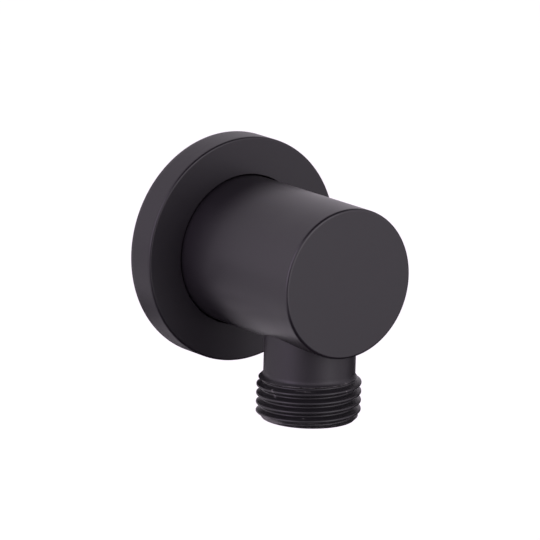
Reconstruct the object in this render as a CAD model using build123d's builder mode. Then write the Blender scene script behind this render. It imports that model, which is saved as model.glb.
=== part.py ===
from build123d import *

import os
from math import ceil, pi, radians, sqrt, tan

# Round wall outlet elbow for a shower hose, in millimetres.
# The origin is the centre of the flange's back face, where it meets the wall.
# The barrel runs out from the wall along -Y, the hose outlet points down along -Z,
# and the threaded inlet spigot runs into the wall along +Y.

# Parallel pipe thread of both ends, size one half inch
thread_diameter = 20.955  # over the crests
thread_pitch = 1.814
thread_angle = 55.0  # between the flanks, in degrees
thread_end_chamfer = 1.25
groove_overcut = 0.1  # groove's section reaches this far outside the crests

# Barrel
barrel_diameter = 30.2
outlet_reach = 30.0  # wall to the outlet's axis
front_overhang = 12.0  # outlet's axis to the flat front
front_edge_break = 0.4
front_wall = 4.0
rear_setback = 1.0  # wall to the barrel's rear shoulder
rear_edge_break = 0.5

# Inlet spigot
inlet_length = 15.0
inlet_relief_width = 2.0
inlet_relief_depth = 1.4
inlet_wall = 2.0  # brass left under the relief

# Outlet nipple
outlet_drop = 29.6  # barrel's axis to the outlet's end
outlet_thread_length = 9.1
outlet_thread_drop = 0.41  # groove's centre below the outlet's end, on the +X side
neck_step = 1.3  # neck turned below the thread's crests
nipple_wall = 2.6
nipple_top_edge_break = 0.3
outlet_mouth_chamfer = 0.5
socket_depth = 3.0  # least depth of the nipple's socket in the barrel
braze_gap = 0.05

# Wall flange
flange_diameter = 46.0
flange_thickness = 6.6
flange_front_edge_break = 0.25
flange_back_edge_break = 0.15
flange_rim_width = 2.5  # ring that meets the wall
flange_recess_depth = 2.0
flange_clearance = 0.3  # round the barrel

# Sealing ring that holds the flange on the barrel
ring_cord = 2.0
ring_squeeze = 0.16  # share of the cord's thickness
ring_bulge = 0.4  # how far each free side stands out past the pressed flats
ring_side_room = 0.1

# Radii and levels that follow from the driving sizes
thread_radius = thread_diameter / 2
barrel_radius = barrel_diameter / 2
neck_radius = thread_radius - neck_step
nipple_bore_radius = neck_radius - nipple_wall
inlet_relief_radius = thread_radius - inlet_relief_depth
waterway_radius = inlet_relief_radius - inlet_wall
socket_radius = neck_radius + braze_gap
flange_radius = flange_diameter / 2
flange_bore_radius = barrel_radius + flange_clearance
flange_recess_radius = flange_radius - flange_rim_width

front_y = -(outlet_reach + front_overhang)
waterway_end_y = front_y + front_wall
rear_y = -rear_setback
relief_end_y = rear_y + inlet_relief_width
inlet_thread_y = relief_end_y + inlet_relief_depth
inlet_end_y = rear_y + inlet_length

saddle_z = -sqrt(barrel_radius**2 - socket_radius**2)
socket_floor_z = saddle_z + socket_depth
outlet_end_z = -outlet_drop
neck_end_z = outlet_end_z + outlet_thread_length
outlet_thread_z = neck_end_z - neck_step

# Thread groove: a sixth of the pitch stays as a narrow flat on each crest and root
flank_slope = tan(radians(thread_angle / 2))
thread_flat = thread_pitch / 6
thread_depth = (thread_pitch / 2 - thread_flat) / flank_slope
thread_root_radius = thread_radius - thread_depth
groove_outer_radius = thread_radius + groove_overcut
groove_root_half = thread_flat / 2
groove_mouth_half = groove_root_half + (thread_depth + groove_overcut) * flank_slope
groove_start_z = outlet_end_z - outlet_thread_drop - thread_pitch
groove_turns = ceil((neck_end_z - groove_start_z) / thread_pitch) + 1

# The ring's cord is squeezed between barrel and groove: its section keeps the cord's
# area, with a flat on each pressed side and a blunt bulge on each free side
ring_height = ring_cord * (1 - ring_squeeze)
ring_flat = pi * ring_cord**2 / 4 / ring_height - ring_bulge
ring_middle_radius = barrel_radius + ring_height / 2
groove_radius = barrel_radius + ring_height
groove_width = ring_flat + 2 * ring_bulge + 2 * ring_side_room
groove_y = -(flange_recess_depth + flange_thickness) / 2
groove_back_y = groove_y + groove_width / 2
groove_front_y = groove_y - groove_width / 2
ring_flat_back_y = groove_y + ring_flat / 2
ring_flat_front_y = groove_y - ring_flat / 2
ring_back_y = ring_flat_back_y + ring_bulge
ring_front_y = ring_flat_front_y - ring_bulge

outlet_plane = Plane.XZ.offset(outlet_reach)
outlet_axis = Axis((0, -outlet_reach, 0), (0, 0, 1))

os.makedirs("parts", exist_ok=True)

# Barrel: turned from bar with its threaded spigot, bored from the wall side and closed
# at the front, then socketed from below for the nipple. The spigot, out of sight in the
# wall, is left at its thread's outside diameter.
with BuildPart() as elbow_barrel:
    with BuildSketch(Plane.XY):
        with BuildLine():
            Polyline(
                (0, front_y),
                (barrel_radius - front_edge_break, front_y),
                (barrel_radius, front_y + front_edge_break),
                (barrel_radius, rear_y - rear_edge_break),
                (barrel_radius - rear_edge_break, rear_y),
                (inlet_relief_radius, rear_y),
                (inlet_relief_radius, relief_end_y),
                (thread_radius, inlet_thread_y),
                (thread_radius, inlet_end_y - thread_end_chamfer),
                (thread_radius - thread_end_chamfer, inlet_end_y),
                (waterway_radius, inlet_end_y),
                (waterway_radius, waterway_end_y),
                (0, waterway_end_y),
                close=True,
            )
        make_face()
    revolve(axis=Axis.Y)
    with BuildSketch(Plane.XY.offset(socket_floor_z)):
        with Locations((0, -outlet_reach)):
            Circle(socket_radius)
    extrude(amount=-barrel_radius, mode=Mode.SUBTRACT)
    with BuildSketch(Plane.XY):
        with Locations((0, -outlet_reach)):
            Circle(nipple_bore_radius)
    extrude(amount=-barrel_radius, mode=Mode.SUBTRACT)
elbow_barrel.part.label = "elbow_barrel"
export_step(elbow_barrel.part, "parts/elbow_barrel.step")

# Nipple: plain neck standing in the barrel's socket, widening to the hose thread, whose
# right-hand groove is cut one turn at a time from below the end to above the shoulder
with BuildPart() as outlet_nipple:
    with BuildSketch(outlet_plane):
        with BuildLine():
            Polyline(
                (nipple_bore_radius, socket_floor_z),
                (neck_radius - nipple_top_edge_break, socket_floor_z),
                (neck_radius, socket_floor_z - nipple_top_edge_break),
                (neck_radius, neck_end_z),
                (thread_radius, outlet_thread_z),
                (thread_radius, outlet_end_z + thread_end_chamfer),
                (thread_radius - thread_end_chamfer, outlet_end_z),
                (nipple_bore_radius + outlet_mouth_chamfer, outlet_end_z),
                (nipple_bore_radius, outlet_end_z + outlet_mouth_chamfer),
                close=True,
            )
        make_face()
    revolve(axis=outlet_axis)
    for turn in range(groove_turns):
        turn_z = groove_start_z + turn * thread_pitch
        with BuildLine() as groove_path:
            Helix(thread_pitch, thread_pitch, thread_root_radius, center=(0, -outlet_reach, turn_z))
        with BuildSketch(outlet_plane):
            with BuildLine():
                Polyline(
                    (thread_root_radius, turn_z - groove_root_half),
                    (groove_outer_radius, turn_z - groove_mouth_half),
                    (groove_outer_radius, turn_z + groove_mouth_half),
                    (thread_root_radius, turn_z + groove_root_half),
                    close=True,
                )
            make_face()
        sweep(path=groove_path.line, is_frenet=True, mode=Mode.SUBTRACT)
outlet_nipple.part.label = "outlet_nipple"
export_step(outlet_nipple.part, "parts/outlet_nipple.step")

# Flange: sliding ring that hides the wall hole, recessed behind so that only its rim
# meets the wall, with a groove in its bore for the sealing ring
with BuildPart() as wall_flange:
    with BuildSketch(Plane.XY):
        with BuildLine():
            Polyline(
                (flange_bore_radius, -flange_thickness),
                (flange_radius - flange_front_edge_break, -flange_thickness),
                (flange_radius, -flange_thickness + flange_front_edge_break),
                (flange_radius, -flange_back_edge_break),
                (flange_radius - flange_back_edge_break, 0),
                (flange_recess_radius, 0),
                (flange_recess_radius, -flange_recess_depth),
                (flange_bore_radius, -flange_recess_depth),
                (flange_bore_radius, groove_back_y),
                (groove_radius, groove_back_y),
                (groove_radius, groove_front_y),
                (flange_bore_radius, groove_front_y),
                close=True,
            )
        make_face()
    revolve(axis=Axis.Y)
wall_flange.part.label = "wall_flange"
export_step(wall_flange.part, "parts/wall_flange.step")

# Sealing ring: squeezed in the flange's groove, gripping the barrel
with BuildPart() as flange_o_ring:
    with BuildSketch(Plane.XY):
        with BuildLine():
            Polyline(
                (barrel_radius, ring_flat_back_y),
                (ring_middle_radius, ring_back_y),
                (groove_radius, ring_flat_back_y),
                (groove_radius, ring_flat_front_y),
                (ring_middle_radius, ring_front_y),
                (barrel_radius, ring_flat_front_y),
                close=True,
            )
        make_face()
    revolve(axis=Axis.Y)
flange_o_ring.part.label = "flange_o_ring"
export_step(flange_o_ring.part, "parts/flange_o_ring.step")
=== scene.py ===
# %% [markdown]
# # Wall outlet elbow
#
# A short round fitting that brings water out of a bathroom wall and down into a shower
# hose. It is turned from brass and coated matte black: a barrel with a flat front, a ring
# that covers the hole in the wall, and a threaded nipple that points down.
#
# The construction is already settled, so the packed model is loaded first as a fixed
# frame. Everything below is modelled around it, in metres, in the same place.

import math

import bmesh
import bpy
from mathutils import Matrix, Vector, noise


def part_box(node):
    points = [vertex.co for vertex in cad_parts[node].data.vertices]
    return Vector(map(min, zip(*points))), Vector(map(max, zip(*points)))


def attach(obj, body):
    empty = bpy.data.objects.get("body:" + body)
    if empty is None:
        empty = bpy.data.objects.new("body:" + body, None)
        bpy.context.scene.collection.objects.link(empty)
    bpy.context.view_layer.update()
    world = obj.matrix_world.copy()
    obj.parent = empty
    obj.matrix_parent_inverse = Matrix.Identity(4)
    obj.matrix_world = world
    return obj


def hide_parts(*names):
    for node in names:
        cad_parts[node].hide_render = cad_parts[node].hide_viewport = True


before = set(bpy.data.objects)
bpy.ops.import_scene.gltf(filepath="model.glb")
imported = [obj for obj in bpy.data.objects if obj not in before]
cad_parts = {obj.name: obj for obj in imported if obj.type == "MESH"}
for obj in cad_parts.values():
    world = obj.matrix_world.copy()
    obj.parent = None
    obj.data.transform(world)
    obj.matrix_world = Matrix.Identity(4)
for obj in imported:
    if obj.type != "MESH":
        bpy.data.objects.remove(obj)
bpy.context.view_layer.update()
MM = 0.001

print("nodes:", sorted(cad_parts))

# %% [markdown]
# ## The camera
#
# A photograph's viewpoint can be guessed by eye, or worked out from outlines of known
# size. Here the rims of the flange, the barrel and the threaded end are circles of known
# size, so the direction, distance and focal length that make them land where the
# photograph has them are known closely. A long lens from about a metre away gives the
# nearly parallel lines of a catalogue picture.

# %% Camera
view_azimuth = math.radians(-36.325)
view_elevation = math.radians(13.019)
view_roll = math.radians(1.715)
view_distance = 1006.94 * MM
view_aim = Vector((0, -25 * MM, -5 * MM))
aim_shift = (-5.3185 * MM, 4.3289 * MM)
image_pixels = 540
focal_pixels = 5064.69

view_back = Vector((
    math.sin(view_azimuth) * math.cos(view_elevation),
    -math.cos(view_azimuth) * math.cos(view_elevation),
    math.sin(view_elevation),
))
level_right = Vector((math.cos(view_azimuth), math.sin(view_azimuth), 0))
level_up = view_back.cross(level_right)
view_right = level_right * math.cos(view_roll) + level_up * math.sin(view_roll)
view_up = level_up * math.cos(view_roll) - level_right * math.sin(view_roll)
view_place = view_aim + view_back * view_distance
view_place += view_right * aim_shift[0] + view_up * aim_shift[1]

camera_data = bpy.data.cameras.new("camera")
camera_data.lens = camera_data.sensor_width * focal_pixels / image_pixels
camera = bpy.data.objects.new("camera", camera_data)
axes = Matrix((view_right, view_up, view_back)).transposed()
camera.matrix_world = Matrix.Translation(view_place) @ axes.to_4x4()
bpy.context.scene.collection.objects.link(camera)
bpy.context.scene.camera = camera

print("lens in mm:", round(camera_data.lens, 1))

# %% [markdown]
# ## A lathe
#
# Every metal piece of this fitting was turned on a lathe, so each starts the same way
# here: half of its section is drawn as a line of a few points and spun round its axis.
# A point is a radius and a place along the axis, and may ask for extra cuts in the line
# that follows it. Spinning leaves the last copy on top of the first and a stack of points
# on the axis, so these are merged before the faces are turned outwards. The bevel operator
# rounds a corner afterwards, and the points on the round are marked as a rim, because a
# coat looks a little glossier there.

# %% Lathe
SEGMENTS = 256
ROUND_STEPS = 6
FINE_ROUND_STEPS = 3
TOUCH = 1e-7


class Lathe:
    """An axis to turn a piece round: a point on it, its direction and where angle 0 is."""

    def __init__(self, centre, axis, zero):
        self.centre = Vector(centre)
        self.axis = Vector(axis)
        self.zero = Vector(zero)
        self.quarter = self.axis.cross(self.zero)

    def point(self, radius, place, angle=0.0):
        spoke = self.zero * math.cos(angle) + self.quarter * math.sin(angle)
        return self.centre + self.axis * place + spoke * radius

    def measure(self, point):
        """Radius, place along the axis and angle of a point."""
        offset = point - self.centre
        across, along = offset.dot(self.zero), offset.dot(self.quarter)
        return math.hypot(across, along), offset.dot(self.axis), math.atan2(along, across)

    def turn(self, outline, closed, steps=SEGMENTS):
        """Spin an outline of (radius, place, cuts to the next point) into a skin."""
        bm = bmesh.new()
        bm.verts.layers.float.new("rim")
        corners = [bm.verts.new(self.point(radius, place)) for radius, place, _ in outline]
        for pair in zip(corners, corners[1:] + corners[:1] if closed else corners[1:]):
            bm.edges.new(pair)
        bmesh.ops.spin(
            bm,
            geom=list(bm.verts) + list(bm.edges),
            cent=self.centre,
            axis=self.axis,
            angle=math.tau,
            steps=steps,
            use_merge=True,
        )
        bmesh.ops.remove_doubles(bm, verts=bm.verts, dist=TOUCH)
        bmesh.ops.recalc_face_normals(bm, faces=bm.faces)
        for start, end in zip(outline, outline[1:] + outline[:1]):
            cuts = start[2]
            if cuts:
                rungs = self.edges_between(bm, start, end)
                bmesh.ops.subdivide_edges(bm, edges=rungs, cuts=cuts)
        return bm

    def ring(self, bm, radius, place):
        """The points at a radius and a place along the axis."""
        places = ((vert, self.measure(vert.co)) for vert in bm.verts)
        return {
            vert for vert, (at_radius, at_place, _) in places
            if abs(at_radius - radius) < TOUCH and abs(at_place - place) < TOUCH
        }

    def edges_between(self, bm, start, end):
        """The edges that run from one ring of the outline to another, or round one ring."""
        first, second = self.ring(bm, *start[:2]), self.ring(bm, *end[:2])
        return [
            edge for edge in bm.edges
            if (edge.verts[0] in first and edge.verts[1] in second)
            or (edge.verts[0] in second and edge.verts[1] in first)
        ]

    def round_rim(self, bm, radius, place, width, segments=ROUND_STEPS):
        """Round the corner at a radius and a place along the axis, and mark it as a rim."""
        corner = (radius, place)
        rounded = bmesh.ops.bevel(
            bm,
            geom=self.edges_between(bm, corner, corner),
            offset=width,
            offset_type="OFFSET",
            affect="EDGES",
            segments=segments,
            profile=0.5,
            material=-1,
        )
        rim = bm.verts.layers.float["rim"]
        for vert in rounded["verts"]:
            at_radius, at_place, _ = self.measure(vert.co)
            off_face = width - max(abs(at_radius - radius), abs(at_place - place))
            vert[rim] = 1 if off_face > TOUCH else 0


nipple_low, nipple_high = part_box("outlet_nipple")
outlet_reach = -(nipple_low.y + nipple_high.y) / 2
barrel_lathe = Lathe((0, 0, 0), (0, 1, 0), (0, 0, 1))
outlet_lathe = Lathe((0, -outlet_reach, 0), (0, 0, 1), (1, 0, 0))
print("outlet's axis from the wall, in mm:", round(outlet_reach / MM, 2))

# %% [markdown]
# ## From a skin to a piece
#
# A turned skin becomes an object here. Its faces are shaded smooth except across real
# corners, and a Weighted Normal modifier lets the large flat and round faces decide the
# shading at their borders, so that a narrow rounded edge doesn't bend the light on the
# whole face beside it.

# %% Finish a piece
CORNER = math.radians(35)


def make_piece(name, mesh):
    """An object at the origin for a mesh whose points are already in place."""
    mesh.shade_smooth()
    mesh.set_sharp_from_angle(angle=CORNER)
    piece = bpy.data.objects.new(name, mesh)
    bpy.context.scene.collection.objects.link(piece)
    weighting = piece.modifiers.new("even shading", "WEIGHTED_NORMAL")
    weighting.keep_sharp = True
    return piece


def skin_mesh(name, bm):
    mesh = bpy.data.meshes.new(name)
    bm.to_mesh(mesh)
    bm.free()
    return mesh


print("corners stay sharp above, in degrees:", round(math.degrees(CORNER)))

# %% [markdown]
# ## The pipe thread
#
# Both ends carry the half-inch parallel pipe thread: 14 turns to the inch, flanks 55
# degrees apart, crests and roots rounded. A thread can be swept as a helix and cut from
# the blank, but its run-outs at the shoulder and the end are then awkward slivers. Here
# the blank is turned with many fine rings and each point is pressed in to the thread's
# own radius at its place and angle. Where the blank is already smaller, it stays, so the
# groove runs out over the shoulder and the end chamfer by itself, as a cut thread does.

# %% Thread form
thread_pitch = 1.814 * MM
flank_angle = math.radians(55)
half_flank = flank_angle / 2
crest_round = 0.137329 * thread_pitch
thread_depth = 0.640327 * thread_pitch
corner_blend = 0.10 * MM
edge_reach = 0.30 * MM
ring_step = 0.055 * MM


def groove_depth(offset):
    """How far the thread lies below its crest, at a distance along the axis from a crest."""
    from_crest = abs((offset / thread_pitch + 0.5) % 1 - 0.5) * thread_pitch
    from_root = thread_pitch / 2 - from_crest
    arc = crest_round * math.cos(half_flank)
    if from_crest < arc:
        return crest_round - math.sqrt(crest_round**2 - from_crest**2)
    if from_root < arc:
        return thread_depth - crest_round + math.sqrt(crest_round**2 - from_root**2)
    arc_depth = crest_round * (1 - math.sin(half_flank))
    return arc_depth + (from_crest - arc) / math.tan(half_flank)


def soft_minimum(a, b, blend):
    """The smaller of two values, with the corner between them rounded."""
    near = max(blend - abs(a - b), 0) / blend
    return min(a, b) - near * near * blend / 4


def press_thread(bm, lathe, crest_radius, crest_place, span):
    """Press the thread into the outer wall, with a crest at crest_place at angle 0.

    Every point keeps, as its edge value, how near it is to where blank and groove meet.
    """
    edge = bm.verts.layers.float.new("edge")
    wall = crest_radius - thread_depth - corner_blend
    for vert in bm.verts:
        radius, place, angle = lathe.measure(vert.co)
        if radius < wall or not span[0] < place < span[1]:
            continue
        turned = place - crest_place - angle / math.tau * thread_pitch
        threaded = crest_radius + corner_blend / 4 - groove_depth(turned)
        vert[edge] = max(1 - abs(radius - threaded) / edge_reach, 0)
        vert.co = lathe.point(soft_minimum(radius, threaded, corner_blend), place, angle)


thread_radius = (nipple_high.x - nipple_low.x) / 2
thread_end_chamfer = 1.25 * MM
print("thread radius and depth in mm:", round(thread_radius / MM, 3), round(thread_depth / MM, 3))

# %% [markdown]
# ## The outlet nipple
#
# A short tube below the barrel: a plain neck, a cone that widens to the thread, the
# thread and a chamfered end with the hose's sealing face. Its upper end stands in a
# socket in the barrel. It is turned as one closed section, with fine rings only where the
# thread comes.

# %% Outlet nipple
neck_step = 1.3 * MM
nipple_wall = 2.6 * MM
thread_length = 9.1 * MM
mouth_chamfer = 0.5 * MM
top_edge_break = 0.3 * MM
thread_drop = 0.41 * MM
end_round = 0.12 * MM
neck_fillet = 0.40 * MM
neck_rings = 12
end_rings = 14
bore_rings = 12
nipple_segments = 384

neck_radius = thread_radius - neck_step
bore_radius = neck_radius - nipple_wall
outlet_end = nipple_low.z
neck_end = outlet_end + thread_length
end_radius = thread_radius - thread_end_chamfer
shoulder = neck_end - (thread_radius - neck_radius)
thread_rings = round((neck_end - outlet_end) / ring_step)
shoulder_rings = round((thread_radius - neck_radius) / ring_step)
chamfer_rings = round(thread_end_chamfer / ring_step)
straight_rings = thread_rings - shoulder_rings - chamfer_rings
nipple_skin = outlet_lathe.turn(
    [
        (bore_radius, nipple_high.z, 0),
        (neck_radius - top_edge_break, nipple_high.z, 0),
        (neck_radius, nipple_high.z - top_edge_break, neck_rings),
        (neck_radius, neck_end, shoulder_rings),
        (thread_radius, shoulder, straight_rings),
        (thread_radius, outlet_end + thread_end_chamfer, chamfer_rings),
        (end_radius, outlet_end, end_rings),
        (bore_radius + mouth_chamfer, outlet_end, 0),
        (bore_radius, outlet_end + mouth_chamfer, bore_rings),
    ],
    closed=True,
    steps=nipple_segments,
)
outlet_lathe.round_rim(nipple_skin, end_radius, outlet_end, end_round, segments=FINE_ROUND_STEPS)
outlet_lathe.round_rim(nipple_skin, neck_radius, neck_end, neck_fillet)
groove_place = outlet_end - thread_drop
press_thread(
    nipple_skin,
    outlet_lathe,
    thread_radius,
    groove_place + thread_pitch / 2,
    (outlet_end - TOUCH, neck_end),
)
print("nipple faces:", len(nipple_skin.faces))

# %% [markdown]
# ## Wear and painted light on the nipple
#
# The nipple is the piece that shows its making and use. Where the groove runs out over the shoulder,
# the tool has left a thin ragged burr, and a few places on the crests and one short scratch are
# rubbed light. The end is rubbed too. On top of that rub, its rounded outer edge carries a painted
# highlight line and the left of its chamfer carries a painted reflection. Such marks could be painted
# into an image, but then they would have no size of their own. Here each mark is a stroke on the
# turned surface, from one angle and height above the end to another, with a width, and every point
# keeps how near it is to one. The finish reads that number further down.

# %% Wear and painted light on the nipple
burr_height = 0.05 * MM
burr_grain = 0.22 * MM
burr_level = 0.85
burr_unevenness = 1.1
burr_from, burr_to = math.radians(150), math.radians(292)
end_wear = 0.60
chamfer_wear = 0.28
marks = {
    "left burr": (160, 8.05, 192, 7.95, 0.30, 0.75),
    "front burr": (199, 8.30, 223, 8.40, 0.30, 0.85),
    "ragged crest": (207, 7.65, 247, 7.62, 0.20, 0.60),
    "upper speck": (283, 8.72, 283, 8.72, 0.28, 1.15),
    "lower speck": (279, 7.35, 279, 7.35, 0.27, 1.10),
    "scratch on a crest": (186, 7.40, 192.5, 6.70, 0.20, 1.40),
    "scratch on a flank": (183.5, 6.30, 192.5, 5.50, 0.20, 1.50),
    "chip": (228, 2.15, 228, 2.15, 0.25, 0.95),
    # Partly rub, partly a painted reflection of bright light on the left of the end chamfer.
    "rubbed end and painted reflection": (146, 0.85, 208, 0.65, 1.15, 1.15),
    "turning line": (207, 1.20, 257, 1.25, 0.20, 0.70),
}


def nearness(radius, angle, height, mark):
    """A mark's strength along its middle, fading to 0 at its two ends and its width.

    A mark is angle and height at its start, then at its end, width and strength, in
    degrees and millimetres.
    """
    start_angle, start_height, end_angle, end_height, width, strength = mark
    middle = math.radians(start_angle + end_angle) / 2
    around = (angle - middle + math.pi) % math.tau - math.pi
    half = math.radians(end_angle - start_angle) / 2
    start = Vector((-half * radius, start_height * MM))
    stroke = Vector((half * radius, end_height * MM)) - start
    spot = Vector((around * radius, height)) - start
    share = spot.dot(stroke) / stroke.length_squared if stroke.length else 0.5
    share = min(max(share, 0), 1)
    distance = (spot - stroke * share).length
    taper = 1 - (2 * share - 1) ** 2
    return strength * taper * max(1 - distance / (width * MM), 0)


edge_layer = nipple_skin.verts.layers.float["edge"]
wear_layer = nipple_skin.verts.layers.float.new("wear")
# Each point stores its rub, burr and painted end highlight and reflection in one value.
for vert in nipple_skin.verts:
    radius, place, angle = outlet_lathe.measure(vert.co)
    if radius < neck_radius - thread_end_chamfer or place > neck_end:
        continue
    height = place - outlet_end
    wear_and_highlight_here = max(nearness(radius, angle, height, mark) for mark in marks.values())
    if place > shoulder and burr_from < angle % math.tau < burr_to:
        ragged = burr_level + burr_unevenness * noise.noise(vert.co / burr_grain)
        wear_and_highlight_here = max(wear_and_highlight_here, vert[edge_layer] * ragged)
        lift = burr_height * vert[edge_layer] ** 2 * ragged
        vert.co = outlet_lathe.point(radius + lift, place, angle)
    # The end's rounded outer edge takes the strongest mark, which is partly rub and partly a painted
    # highlight line along the edge. The rest of the chamfer takes a light rub.
    if height < thread_end_chamfer:
        on_edge = height < end_round and radius > end_radius - end_round
        wear_and_highlight_here = max(wear_and_highlight_here, end_wear if on_edge else chamfer_wear)
    vert[wear_layer] = wear_and_highlight_here

nipple = make_piece("nipple", skin_mesh("nipple", nipple_skin))
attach(nipple, "root")
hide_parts("outlet_nipple")
print("marks on the nipple:", len(marks))

# %% [markdown]
# ## The barrel
#
# A plain round bar with a flat front, bored from the wall side, with a threaded spigot
# behind that screws into the pipe in the wall. Its corners are only just broken, and the
# photograph shows these as thin lines, so they are real rounded edges: the bevel operator
# rounds a ring of edges after the turning. The spigot's thread is pressed in last.

# %% Barrel
barrel_low, barrel_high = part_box("elbow_barrel")
barrel_radius = barrel_high.x
front = barrel_low.y
spigot_end = barrel_high.y
rear = -1.0 * MM
front_wall = 4.0 * MM
relief_width = 2.0 * MM
relief_depth = 1.4 * MM
spigot_wall = 2.0 * MM
front_round = 0.55 * MM
rear_round = 0.5 * MM
barrel_rings = 40
waterway_rings = 30

relief_radius = thread_radius - relief_depth
waterway_radius = relief_radius - spigot_wall
relief_end = rear + relief_width
spigot_thread = relief_end + relief_depth
barrel_skin = barrel_lathe.turn(
    [
        (0, front, 0),
        (barrel_radius, front, barrel_rings),
        (barrel_radius, rear, 0),
        (relief_radius, rear, 0),
        (relief_radius, relief_end, round(relief_depth / ring_step)),
        (thread_radius, spigot_thread, round((spigot_end - spigot_thread) / ring_step)),
        (thread_radius, spigot_end - thread_end_chamfer, chamfer_rings),
        (end_radius, spigot_end, 0),
        (waterway_radius, spigot_end, waterway_rings),
        (waterway_radius, front + front_wall, 0),
        (0, front + front_wall, 0),
    ],
    closed=False,
)
barrel_lathe.round_rim(barrel_skin, barrel_radius, front, front_round)
barrel_lathe.round_rim(barrel_skin, barrel_radius, rear, rear_round, segments=FINE_ROUND_STEPS)
press_thread(
    barrel_skin,
    barrel_lathe,
    thread_radius,
    spigot_end,
    (relief_end, spigot_end + TOUCH),
)
barrel_mesh = skin_mesh("barrel", barrel_skin)
print("barrel faces before its socket:", len(barrel_mesh.polygons))

# %% [markdown]
# ## The socket under the barrel
#
# The nipple stands in a flat-bottomed socket milled into the barrel from below, and its
# bore goes on up into the waterway. A hole across a round wall is what a Boolean does
# well: the cutter is turned like a milling tool, taken away from the barrel, and deleted.
# A gap of a few hundredths of a millimetre stays round the neck, which is the crisp dark
# line between the two pieces.

# %% Socket
joint_gap = 0.05 * MM
cutter_end = -barrel_radius * 1.1
cutter_skin = outlet_lathe.turn(
    [
        (0, 0, 0),
        (bore_radius, 0, 0),
        (bore_radius, nipple_high.z, 0),
        (neck_radius + joint_gap, nipple_high.z, 0),
        (neck_radius + joint_gap, cutter_end, 0),
        (0, cutter_end, 0),
    ],
    closed=False,
)
cutter_mesh = skin_mesh("socket_cutter", cutter_skin)
cutter = bpy.data.objects.new("socket_cutter", cutter_mesh)
bar = bpy.data.objects.new("bar", barrel_mesh)
for part in (cutter, bar):
    bpy.context.scene.collection.objects.link(part)
socket_cut = bar.modifiers.new("socket", "BOOLEAN")
socket_cut.operation = "DIFFERENCE"
socket_cut.solver = "EXACT"
socket_cut.object = cutter
depsgraph = bpy.context.evaluated_depsgraph_get()
socketed_mesh = bpy.data.meshes.new_from_object(bar.evaluated_get(depsgraph))
for part in (cutter, bar):
    bpy.data.objects.remove(part)

barrel = make_piece("barrel", socketed_mesh)
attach(barrel, "root")
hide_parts("elbow_barrel")
print("barrel faces:", len(barrel.data.polygons))

# %% [markdown]
# ## The wall flange
#
# A ring that slides over the barrel and covers the hole in the wall. Behind, it is
# recessed so that only its rim meets the tiles, and a groove in its bore holds a rubber
# ring. The bore is a little larger than the barrel, and the thin black line round the
# barrel's foot is that gap. Recess and groove could be cut from a plain ring, but they are
# round too, so one section has them all and one spin makes the piece.

# %% Wall flange
flange_low, flange_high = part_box("wall_flange")
ring_low, ring_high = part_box("flange_o_ring")
flange_radius = flange_high.x
flange_front = flange_low.y
flange_gap = 0.3 * MM
recess_depth = 2.0 * MM
rim_width = 2.5 * MM
ring_room = 0.1 * MM
flange_round = 0.45 * MM
back_round = 0.15 * MM
bore_round = 0.08 * MM
rim_rings = 6

flange_bore = barrel_radius + flange_gap
groove_radius = ring_high.x
flange_skin = barrel_lathe.turn(
    [
        (flange_bore, flange_front, 0),
        (flange_radius, flange_front, rim_rings),
        (flange_radius, 0, 0),
        (flange_radius - rim_width, 0, 0),
        (flange_radius - rim_width, -recess_depth, 0),
        (flange_bore, -recess_depth, 0),
        (flange_bore, ring_high.y + ring_room, 0),
        (groove_radius, ring_high.y + ring_room, 0),
        (groove_radius, ring_low.y - ring_room, 0),
        (flange_bore, ring_low.y - ring_room, 0),
    ],
    closed=True,
)
barrel_lathe.round_rim(flange_skin, flange_radius, flange_front, flange_round)
barrel_lathe.round_rim(flange_skin, flange_bore, flange_front, bore_round, segments=FINE_ROUND_STEPS)
barrel_lathe.round_rim(flange_skin, flange_radius, 0, back_round, segments=FINE_ROUND_STEPS)
flange = make_piece("flange", skin_mesh("flange", flange_skin))
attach(flange, "root")
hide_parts("wall_flange")
print("flange faces:", len(flange.data.polygons))

# %% [markdown]
# ## The rubber ring
#
# A round rubber cord, squeezed between the barrel and the flange's groove until its
# section is a flattened oval. A torus would have a round section, so a circle is scaled
# to that oval and spun round the barrel.

# %% Rubber ring
cord_segments = 32
ring_skin = bmesh.new()
ring_width = ring_high.y - ring_low.y
ring_height = groove_radius - barrel_radius
section = bmesh.ops.create_circle(ring_skin, segments=cord_segments, radius=0.5)
bmesh.ops.scale(ring_skin, vec=(ring_height, ring_width, 1), verts=section["verts"])
cord_centre = Vector((barrel_radius + ring_height / 2, (ring_high.y + ring_low.y) / 2, 0))
bmesh.ops.translate(ring_skin, vec=cord_centre, verts=section["verts"])
bmesh.ops.spin(
    ring_skin,
    geom=list(ring_skin.verts) + list(ring_skin.edges),
    cent=(0, 0, 0),
    axis=(0, 1, 0),
    angle=math.tau,
    steps=SEGMENTS,
    use_merge=True,
)
bmesh.ops.remove_doubles(ring_skin, verts=ring_skin.verts, dist=TOUCH)
bmesh.ops.recalc_face_normals(ring_skin, faces=ring_skin.faces)
rubber_ring = make_piece("rubber_ring", skin_mesh("rubber_ring", ring_skin))
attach(rubber_ring, "root")
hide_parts("flange_o_ring")
print("rubber ring faces:", len(rubber_ring.data.polygons))

# %% [markdown]
# ## Writing shader maths
#
# A material's maths is easier to read as an expression than as a web of nodes. This small
# class wraps one output socket: adding to it, subtracting or multiplying adds the Math
# node and its links. Any other node comes from one method, which takes the node's type,
# its settings and what goes into its sockets.

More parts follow.
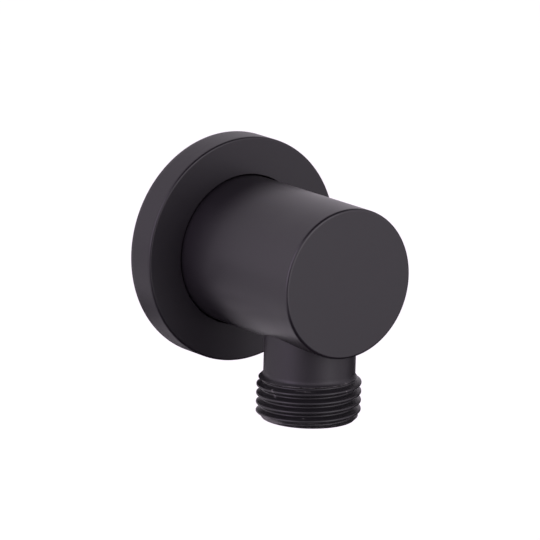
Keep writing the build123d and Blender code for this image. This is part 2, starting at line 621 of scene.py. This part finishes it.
# %% Shader maths
class Signal:
    """One output socket of a node tree; arithmetic on it adds Math nodes."""

    def __init__(self, tree, socket):
        self.tree = tree
        self.socket = socket

    def node(self, kind, settings=None, sockets=None, output=0):
        """Add a node: its settings first, then the values or links of its sockets."""
        made = self.tree.nodes.new(kind)
        for name, setting in (settings or {}).items():
            setattr(made, name, setting)
        for name, value in (sockets or {}).items():
            if isinstance(value, Signal):
                self.tree.links.new(value.socket, made.inputs[name])
            else:
                made.inputs[name].default_value = value
        return Signal(self.tree, made.outputs[output])

    def maths(self, operation, first, second):
        return self.node("ShaderNodeMath", {"operation": operation}, {0: first, 1: second})

    def __add__(self, other):
        return self.maths("ADD", self, other)

    def __sub__(self, other):
        return self.maths("SUBTRACT", self, other)

    def __rsub__(self, other):
        return self.maths("SUBTRACT", other, self)

    def __mul__(self, other):
        return self.maths("MULTIPLY", self, other)

    __radd__ = __add__
    __rmul__ = __mul__

    def ramp(self, start, end):
        """0 below start, 1 above end, smooth between; start may be the larger."""
        return self.node(
            "ShaderNodeMapRange",
            {"interpolation_type": "SMOOTHSTEP"},
            {"Value": self, "From Min": start, "From Max": end},
        )

    def mix(self, first, second):
        """A colour between two, with this as the share of the second."""
        return self.node(
            "ShaderNodeMix",
            {"data_type": "RGBA"},
            {"Factor": self, 6: first, 7: second},
            output=2,
        )


print("a signal can also:", [name for name in vars(Signal) if not name.startswith("_")])

# %% [markdown]
# ## Starting a finish
#
# Every finish starts alike: a material with its Principled shader, and the piece's Object
# coordinates, which are metres here because every piece sits at the origin unscaled. So a
# noise can be given the size of its spots in metres. These helpers keep the finishes below
# down to what is special about each.

# %% Start a finish
def new_finish(name):
    """A material with its Principled shader, and a signal of its Object coordinates."""
    material = bpy.data.materials.new(name)
    material.use_nodes = True
    tree = material.node_tree
    shader = tree.nodes["Principled BSDF"]
    coords = tree.nodes.new("ShaderNodeTexCoord").outputs["Object"]
    return material, shader, Signal(tree, coords)


def feed(shader, **signals):
    """Link signals into the Principled shader's sockets."""
    for name, signal in signals.items():
        signal.tree.links.new(signal.socket, shader.inputs[name.replace("_", " ").title()])


def speckle(coords, size, detail=2.0):
    """Soft random spots from 0 to 1, about as large as size, in metres."""
    return coords.node(
        "ShaderNodeTexNoise", None, {"Vector": coords, "Scale": 1 / size, "Detail": detail}, "Fac"
    )


def swing(signal, amount):
    """A signal from 0 to 1 as a change, up or down by half the amount."""
    return (signal - 0.5) * amount


print("pieces waiting for a finish:", [piece.name for piece in (barrel, flange, nipple, rubber_ring)])

# %% [markdown]
# ## The matte black coat
#
# The barrel and flange have a thin sprayed coat, nearly black with a trace of purple. It
# looks grey only because its surface scatters the white studio, so the colour itself is
# very dark and the sheen does the rest. Fine orange-peel bumps and slow changes of sheen
# keep it from looking like plastic. A trace of smoother lacquer on top shows at glancing
# angles, as the lighter line along the barrel's upper outline, and the rims are a little
# glossier than the faces. The flange was coated apart from the barrel and is duller, so one
# function makes both coats.

# %% Matte black coat
coat_colour = (0.0060, 0.0046, 0.0068, 1)
coat_colour_thin = (0.0075, 0.0058, 0.0085, 1)
coat_sheen_tint = (0.98, 0.95, 1.0, 1)
coat_roughness = 0.50
rim_gloss = 0.18
lacquer_roughness = 0.28
cloud_size = 6 * MM
cloud_swing = 0.06
peel_size = 0.35 * MM
grain_size = 0.06 * MM
grain_swing = 0.05
grain_in_bumps = 0.5
bump_strength = 0.12
bump_height = 0.01 * MM


def matte_coat(name, sheen, lacquer):
    """The sprayed coat: its sheen is the specular level, its lacquer a thin smoother top."""
    coat, shader, coords = new_finish(name)
    rim = coords.node("ShaderNodeAttribute", {"attribute_name": "rim"}, None, "Fac")
    cloud = speckle(coords, cloud_size)
    peel = speckle(coords, peel_size)
    grain = speckle(coords, grain_size, detail=1.0)
    bumps = peel + grain * grain_in_bumps
    bump = coords.node(
        "ShaderNodeBump",
        None,
        {"Strength": bump_strength, "Distance": bump_height, "Height": bumps},
    )
    mottle = swing(cloud, cloud_swing) + swing(grain, grain_swing)
    feed(
        shader,
        base_color=cloud.mix(coat_colour, coat_colour_thin),
        roughness=coat_roughness + mottle - rim * rim_gloss,
        normal=bump,
    )
    shader.inputs["Specular IOR Level"].default_value = sheen
    shader.inputs["Specular Tint"].default_value = coat_sheen_tint
    shader.inputs["Coat Weight"].default_value = lacquer
    shader.inputs["Coat Roughness"].default_value = lacquer_roughness
    return coat


barrel_sheen = 0.41
barrel_lacquer = 0.22
flange_sheen = 0.40
flange_lacquer = 0.06
barrel.data.materials.append(matte_coat("black_coat", barrel_sheen, barrel_lacquer))
flange.data.materials.append(matte_coat("black_coat_flange", flange_sheen, flange_lacquer))
print("coats:", barrel.data.materials[0].name, flange.data.materials[0].name)

# %% [markdown]
# ## The nipple's finish
#
# The nipple has the same black without the lacquer. On the thread the coat is thin and a little
# glossier, and where it is rubbed, a lighter grey comes through. The same lighter grey also paints a
# highlight along the end's rounded edge and a reflection on the left of its chamfer. The value stored
# in the mesh for rubs and this painted light says where, and a fine noise added to it before a sharp
# step breaks its border into specks, so that a rub looks rubbed and not painted on.

# %% Nipple finish
thread_colour = (0.0082, 0.0075, 0.0090, 1)
# The light grey of rubs, also used for the painted highlight on the end's edge and the painted
# reflection on its chamfer.
rub_and_highlight_colour = (0.083, 0.078, 0.080, 1)
thread_sheen = 0.50
thread_gloss = 0.08
thread_starts = neck_end + 0.2 * MM
thread_is_full = neck_end - 0.6 * MM
thread_cloud_size = 4 * MM
grit_size = 0.25 * MM
grit_swing = 1.6
rub_starts = 0.38
rub_is_full = 0.62
rub_dullness = 0.15

thread_coat, thread_shader, thread_coords = new_finish("black_thread")
thread_cloud = speckle(thread_coords, thread_cloud_size)
thread_grain = speckle(thread_coords, grain_size, detail=1.0)
grit = speckle(thread_coords, grit_size, detail=3.0)
thread_bump = thread_coords.node(
    "ShaderNodeBump",
    None,
    {"Strength": bump_strength, "Distance": bump_height, "Height": thread_grain},
)
level = thread_coords.node("ShaderNodeSeparateXYZ", None, {"Vector": thread_coords}, "Z")
threaded = level.ramp(thread_starts, thread_is_full)
wear = thread_coords.node("ShaderNodeAttribute", {"attribute_name": "wear"}, None, "Fac")
rub_and_highlight = (wear + swing(grit, grit_swing)).ramp(rub_starts, rub_is_full)
dullness = rub_and_highlight * rub_dullness - threaded * thread_gloss
feed(
    thread_shader,
    base_color=rub_and_highlight.mix(threaded.mix(coat_colour, thread_colour), rub_and_highlight_colour),
    roughness=coat_roughness + dullness + swing(thread_cloud, cloud_swing),
    normal=thread_bump,
)
thread_shader.inputs["Specular IOR Level"].default_value = thread_sheen
thread_shader.inputs["Specular Tint"].default_value = coat_sheen_tint
nipple.data.materials.append(thread_coat)
print("nipple finish nodes:", len(thread_coat.node_tree.nodes))

# %% [markdown]
# ## Rubber
#
# The sealing ring is plain black rubber, dull and a little uneven where it was moulded.
# One soft noise changes both its grey and its roughness, which is enough for a piece that
# lies hidden in the gap between flange and barrel.

# %% Rubber
rubber_dark = (0.010, 0.010, 0.010, 1)
rubber_light = (0.016, 0.016, 0.016, 1)
rubber_roughness = 0.6
rubber_unevenness = 0.15
rubber_cloud_size = 1 * MM

rubber, rubber_shader, rubber_coords = new_finish("ring_rubber")
rubber_cloud = speckle(rubber_coords, rubber_cloud_size)
feed(
    rubber_shader,
    base_color=rubber_cloud.mix(rubber_dark, rubber_light),
    roughness=rubber_roughness + rubber_cloud * rubber_unevenness,
)
rubber_ring.data.materials.append(rubber)
print("rubber on:", rubber_ring.name)

# %% [markdown]
# ## The studio
#
# Black goods are photographed by what they reflect. Here a white tent lights the fitting
# from all round, two soft boxes make the light sides of the round neck and barrel, and
# black flags take light away above, below and at the sides, which is what draws the dark
# bands between them. A tent could be a big white mesh, but the world's own colour does the
# same and can't get in the way. The flags share one black without any sheen.

# %% Tent and black card
tent_colour = (1.08, 1.0, 1.10, 1)

world = bpy.data.worlds.new("studio")
world.use_nodes = True
bpy.context.scene.world = world
tent = world.node_tree.nodes["Background"]
tent.inputs["Color"].default_value = tent_colour
tent.inputs["Strength"].default_value = 1.0

black_card = bpy.data.materials.new("black_card")
black_card.use_nodes = True
card_shader = black_card.node_tree.nodes["Principled BSDF"]
card_shader.inputs["Base Color"].default_value = (0, 0, 0, 1)
card_shader.inputs["Roughness"].default_value = 1.0
card_shader.inputs["Specular IOR Level"].default_value = 0.0
print("tent colour:", tent_colour[:3])

# %% [markdown]
# ## Soft boxes and flags
#
# A panel's place is a direction from the fitting, in degrees to the right of straight in
# front and up from level, followed by its distance, width and height in metres. A soft box
# is an area lamp. A flag is a card that is seen in reflections only, so the tent stays white
# behind the fitting and the floor keeps its shadow. Most stand well away, and four small
# ones stand close to the fitting, where they darken one place and leave the rest alone.

# %% Panels
studio_centre = view_aim
outlet_drop = 25 * MM
outlet_centre = outlet_lathe.point(0, -outlet_drop)


def facing(azimuth, elevation, distance, centre=studio_centre):
    """Where a panel stands, turned so that its face looks at the centre."""
    heading = math.radians(azimuth)
    rise = math.radians(elevation)
    away = Vector((
        math.sin(heading) * math.cos(rise),
        -math.cos(heading) * math.cos(rise),
        math.sin(rise),
    ))
    aim = away.to_track_quat("Z", "Y").to_matrix().to_4x4()
    return Matrix.Translation(centre + away * distance) @ aim


def soft_box(name, azimuth, elevation, distance, width, height, brightness, colour):
    """A lamp as bright, seen from the fitting, as its colour times its brightness."""
    lamp_data = bpy.data.lights.new(name, "AREA")
    lamp_data.shape = "RECTANGLE"
    lamp_data.size = width
    lamp_data.size_y = height
    lamp_data.energy = brightness * math.pi * width * height
    lamp_data.color = colour
    lamp = bpy.data.objects.new(name, lamp_data)
    lamp.matrix_world = facing(azimuth, elevation, distance)
    bpy.context.scene.collection.objects.link(lamp)


def flag(name, azimuth, elevation, distance, width, height, centre=studio_centre):
    """A black card that only reflections see."""
    card_skin = bmesh.new()
    bmesh.ops.create_grid(card_skin, x_segments=1, y_segments=1, size=0.5)
    bmesh.ops.scale(card_skin, vec=(width, height, 1), verts=card_skin.verts)
    bmesh.ops.transform(
        card_skin, matrix=facing(azimuth, elevation, distance, centre), verts=card_skin.verts
    )
    card = bpy.data.objects.new(name, skin_mesh(name, card_skin))
    bpy.context.scene.collection.objects.link(card)
    card.data.materials.append(black_card)
    card.visible_camera = False
    card.visible_diffuse = False
    card.visible_shadow = False


print("panels face, in mm:", [round(c / MM, 1) for c in studio_centre])

# %% Soft boxes and flags
plain_light = (1, 1, 1)
cool_light = (1.05, 0.86, 1.18)
soft_box("right_box", 14, 9, 1.0, 0.50, 1.10, 1.75, plain_light)
soft_box("left_box", -88, 19, 1.0, 0.38, 0.85, 2.7, cool_light)
flag("top_flag", 0, 90, 0.6, 0.90, 0.90)
flag("low_flag", 0, -78, 0.35, 1.0, 0.93)
flag("right_flag", 92, -10, 0.6, 0.44, 0.70)
flag("right_low_flag", 125, -34, 0.6, 0.60, 0.26)
flag("right_high_flag", 110, 33, 0.6, 0.28, 0.40)
flag("left_flag", -38, -8, 0.6, 0.22, 0.50)
flag("left_back_flag", -144, -14, 0.6, 0.08, 0.24)
flag("stand_flag", -170, -27.5, 0.096, 0.06, 0.018)
flag("underside_flag", -170, -40, 0.060, 0.05, 0.0032)
flag("outlet_right_flag", 110, -18, 0.040, 0.036, 0.020, outlet_centre)
flag("outlet_back_flag", 150, -14, 0.105, 0.090, 0.022, outlet_centre)
print("soft boxes:", [lamp.name for lamp in bpy.data.lights])

# %% [markdown]
# ## The floor
#
# The fitting hangs free in the photograph, in front of plain white. A white sheet far
# below does the same here: it takes what little shadow there is and fills the picture
# with its own colour. It is white from above only, so that a look from underneath goes
# through it to the tent: the Backfacing output tells the two sides apart.

# %% Floor
floor_drop = 600 * MM
floor_reach = 8.0
floor_skin = bmesh.new()
bmesh.ops.create_grid(floor_skin, x_segments=1, y_segments=1, size=floor_reach)
bmesh.ops.translate(floor_skin, vec=(0, 0, -floor_drop), verts=floor_skin.verts)
floor = bpy.data.objects.new("floor", skin_mesh("floor", floor_skin))
bpy.context.scene.collection.objects.link(floor)
paper = bpy.data.materials.new("white_paper")
paper.use_nodes = True
paper_shader = paper.node_tree.nodes["Principled BSDF"]
paper_shader.inputs["Base Color"].default_value = (1, 1, 1, 1)
paper_shader.inputs["Roughness"].default_value = 1.0
paper_shader.inputs["Specular IOR Level"].default_value = 0.0
geometry = paper.node_tree.nodes.new("ShaderNodeNewGeometry")
from_below = Signal(paper.node_tree, geometry.outputs["Backfacing"])
above = Signal(paper.node_tree, paper_shader.outputs["BSDF"])
clear = from_below.node("ShaderNodeBsdfTransparent")
sheet = from_below.node("ShaderNodeMixShader", None, {"Fac": from_below, 1: above, 2: clear})
paper_output = paper.node_tree.nodes["Material Output"]
paper.node_tree.links.new(sheet.socket, paper_output.inputs["Surface"])
floor.data.materials.append(paper)
print("floor below the fitting in mm:", round(floor_drop / MM))

# %% [markdown]
# ## Colour
#
# The Standard view transform shows a colour as it is written.

# %% Colour
bpy.context.scene.view_settings.view_transform = "Standard"
